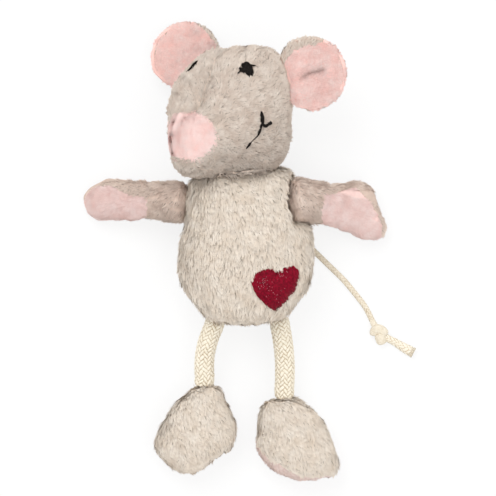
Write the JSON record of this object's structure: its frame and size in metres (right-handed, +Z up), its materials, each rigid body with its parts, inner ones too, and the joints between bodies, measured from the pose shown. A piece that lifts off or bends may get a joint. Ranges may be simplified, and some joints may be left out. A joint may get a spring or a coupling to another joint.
{
  "type": "plush toy mouse",
  "caption": "Plush mouse lying on its back: stuffed body, head, ears, arms and feet, rope legs, a stitched heart, and a thin cord tail with a knot.",
  "frame": {"origin": "on the table, under the middle of the belly", "axes": "+X towards the toy's left, +Y towards the top of its head, +Z up from the table out of the belly"},
  "size_m": [0.1651, 0.2314, 0.0649],
  "materials": {
    "cream_plush": "long matt pile",
    "taupe_plush": "short matt pile",
    "pink_plush": "short matt pile",
    "cotton_cord": "matt twisted cotton",
    "red_thread": "satin stitch, soft sheen",
    "black_thread": "satin stitch, soft sheen",
    "stuffing": "loose matt fibre"
  },
  "bodies": {
    "body": {"body_front_panel": "cream_plush", "body_back_panel": "cream_plush", "body_stuffing": "stuffing", "heart_embroidery": "red_thread"},
    "neck_seam": {"neck_stitching": "cotton_cord"},
    "head": {"head_left_panel": "taupe_plush", "head_right_panel": "taupe_plush", "nose_cap": "pink_plush", "head_stuffing": "stuffing", "left_eye": "black_thread", "left_mouth_stitching": "black_thread", "right_eye": "black_thread", "right_mouth_stitching": "black_thread"},
    "left_ear": {"left_ear_front": "pink_plush", "left_ear_back": "taupe_plush"},
    "right_ear": {"right_ear_front": "pink_plush", "right_ear_back": "taupe_plush"},
    "tail": {"tail_cord": "cotton_cord", "tail_knot": "cotton_cord", "tail_end": "cotton_cord"},
    "left_shoulder_seam": {"left_shoulder_stitching": "cotton_cord"},
    "left_arm": {"left_arm_back_panel": "taupe_plush", "left_sleeve": "taupe_plush", "left_palm": "pink_plush", "left_arm_stuffing": "stuffing"},
    "left_hip_seam": {"left_hip_stitching": "cotton_cord"},
    "left_leg": {"left_leg_rope": "cotton_cord"},
    "left_foot": {"left_foot_upper": "cream_plush", "left_foot_sole": "pink_plush", "left_foot_stuffing": "stuffing"},
    "right_shoulder_seam": {"right_shoulder_stitching": "cotton_cord"},
    "right_arm": {"right_arm_back_panel": "taupe_plush", "right_sleeve": "taupe_plush", "right_palm": "pink_plush", "right_arm_stuffing": "stuffing"},
    "right_hip_seam": {"right_hip_stitching": "cotton_cord"},
    "right_leg": {"right_leg_rope": "cotton_cord"},
    "right_foot": {"right_foot_upper": "cream_plush", "right_foot_sole": "pink_plush", "right_foot_stuffing": "stuffing"}
  },
  "joints": [
    {"name": "neck_turn", "type": "hinge", "parent": "body", "child": "neck_seam", "pos_m": [-0.0038, 0.022, 0.025], "axis": [0, 1, 0], "range_deg": [0, 35], "stiffness_Nm_per_rad": 0.3},
    {"name": "neck_nod", "type": "hinge", "parent": "neck_seam", "child": "head", "pos_m": [-0.0038, 0.022, 0.025], "axis": [1, 0, 0], "range_deg": [0, 20], "stiffness_Nm_per_rad": 0.3},
    {"name": "left_ear_fold", "type": "hinge", "parent": "head", "child": "left_ear", "pos_m": [0.01563, 0.0826, 0.04053], "axis": [0.2985, -0.9532, 0.0477], "range_deg": [-20, 5], "stiffness_Nm_per_rad": 0.01},
    {"name": "right_ear_fold", "type": "hinge", "parent": "head", "child": "right_ear", "pos_m": [-0.02862, 0.08155, 0.00989], "axis": [0.9724, 0.1488, 0.1796], "range_deg": [-8, 0], "stiffness_Nm_per_rad": 0.01},
    {"name": "left_arm_swing", "type": "hinge", "parent": "body", "child": "left_shoulder_seam", "pos_m": [0.03132, 0.025, 0.024], "axis": [0, 0, 1], "range_deg": [-22, 10], "stiffness_Nm_per_rad": 0.02},
    {"name": "left_arm_lift", "type": "hinge", "parent": "left_shoulder_seam", "child": "left_arm", "pos_m": [0.03132, 0.025, 0.024], "axis": [0, -1, 0], "range_deg": [0, 50], "stiffness_Nm_per_rad": 0.02},
    {"name": "right_arm_swing", "type": "hinge", "parent": "body", "child": "right_shoulder_seam", "pos_m": [-0.03837, 0.025, 0.019], "axis": [0, 0, 1], "range_deg": [-10, 40], "stiffness_Nm_per_rad": 0.02},
    {"name": "right_arm_lift", "type": "hinge", "parent": "right_shoulder_seam", "child": "right_arm", "pos_m": [-0.03837, 0.025, 0.019], "axis": [0, 1, 0], "range_deg": [0, 50], "stiffness_Nm_per_rad": 0.02},
    {"name": "left_leg_swing", "type": "hinge", "parent": "body", "child": "left_hip_seam", "pos_m": [0.0166, -0.03765, 0.018], "axis": [0, 0, 1], "range_deg": [-4, 25]},
    {"name": "left_leg_lift", "type": "hinge", "parent": "left_hip_seam", "child": "left_leg", "pos_m": [0.0166, -0.03765, 0.018], "axis": [-1, 0, 0], "range_deg": [0, 70]},
    {"name": "left_foot_flex", "type": "hinge", "parent": "left_leg", "child": "left_foot", "pos_m": [0.0188, -0.071, 0.012], "axis": [-1, 0, 0], "range_deg": [0, 50]},
    {"name": "right_leg_swing", "type": "hinge", "parent": "body", "child": "right_hip_seam", "pos_m": [-0.0164, -0.0375, 0.018], "axis": [0, 0, 1], "range_deg": [-25, 4]},
    {"name": "right_leg_lift", "type": "hinge", "parent": "right_hip_seam", "child": "right_leg", "pos_m": [-0.0164, -0.0375, 0.018], "axis": [-1, 0, 0], "range_deg": [0, 70]},
    {"name": "right_foot_flex", "type": "hinge", "parent": "right_leg", "child": "right_foot", "pos_m": [-0.0202, -0.065, 0.012], "axis": [-1, 0, 0], "range_deg": [0, 50]},
    {"name": "tail_swing", "type": "hinge", "parent": "body", "child": "tail", "pos_m": [0.0167, 0.0069, 0.0015], "axis": [0, 0, 1], "range_deg": [-20, 8]}
  ]
}
